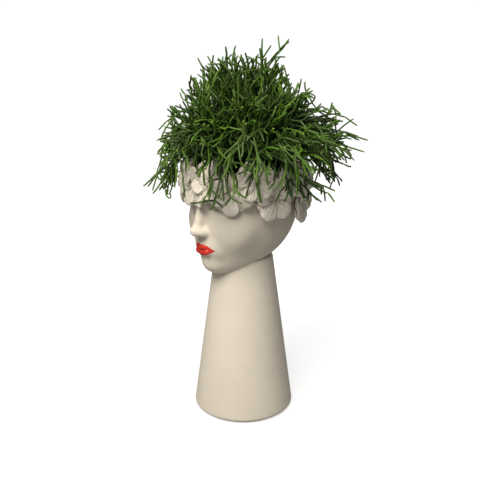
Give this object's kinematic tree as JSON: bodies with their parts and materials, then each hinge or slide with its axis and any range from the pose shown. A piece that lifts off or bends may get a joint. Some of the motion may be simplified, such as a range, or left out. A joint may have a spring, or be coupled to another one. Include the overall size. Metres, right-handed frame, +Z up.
{
  "type": "head planter",
  "caption": "Planter cast as a woman's head with a crown of blossoms on a tall hollow neck, with a lift-out nursery pot of trailing mistletoe cactus and a drain plug.",
  "frame": {"origin": "middle of the resting face, the felt ring's underside, on the neck's axis", "axes": "+Z up along the neck's axis; the face looks along -Y; +X is the head's left-hand side"},
  "size_m": [0.2931, 0.2907, 0.5247],
  "materials": {
    "casting": "matte",
    "lip_paint": "satin",
    "felt": "matte",
    "plug_rubber": "matte",
    "pot_plastic": "matte",
    "mix": "matte",
    "stem": "satin"
  },
  "bodies": {
    "planter": {"neck": "casting", "head": "casting", "painted_lips": "lip_paint", "felt_ring": "felt", "blossom_01": "casting", "blossom_02": "casting", "blossom_03": "casting", "blossom_04": "casting", "blossom_05": "casting", "blossom_06": "casting", "blossom_07": "casting", "blossom_08": "casting", "blossom_09": "casting", "rim_blossom_01": "casting", "rim_blossom_02": "casting", "rim_blossom_03": "casting", "rim_blossom_04": "casting", "rim_blossom_05": "casting", "rim_blossom_06": "casting", "rim_blossom_07": "casting", "rim_blossom_08": "casting", "rim_blossom_09": "casting", "back_blossom_01": "casting", "back_blossom_02": "casting", "back_blossom_03": "casting", "back_blossom_04": "casting"},
    "liner": {"nursery_pot": "pot_plastic", "potting_mix": "mix", "cutting_01": "stem", "cutting_02": "stem", "cutting_03": "stem", "cutting_04": "stem", "cutting_05": "stem", "cutting_06": "stem", "cutting_07": "stem", "cutting_08": "stem", "cutting_09": "stem", "cutting_10": "stem", "cutting_11": "stem", "cutting_12": "stem", "cutting_13": "stem", "cutting_14": "stem", "cutting_15": "stem", "cutting_16": "stem", "cutting_17": "stem", "cutting_18": "stem", "cutting_19": "stem"},
    "plug": {"drain_plug": "plug_rubber"}
  },
  "joints": [
    {"name": "liner_lift", "type": "slide", "parent": "planter", "child": "liner", "axis": [0, 0, 1], "range_m": [0, 0.16]},
    {"name": "plug_pull", "type": "slide", "parent": "planter", "child": "plug", "axis": [0, 0, -1], "range_m": [0, 0.03]}
  ]
}
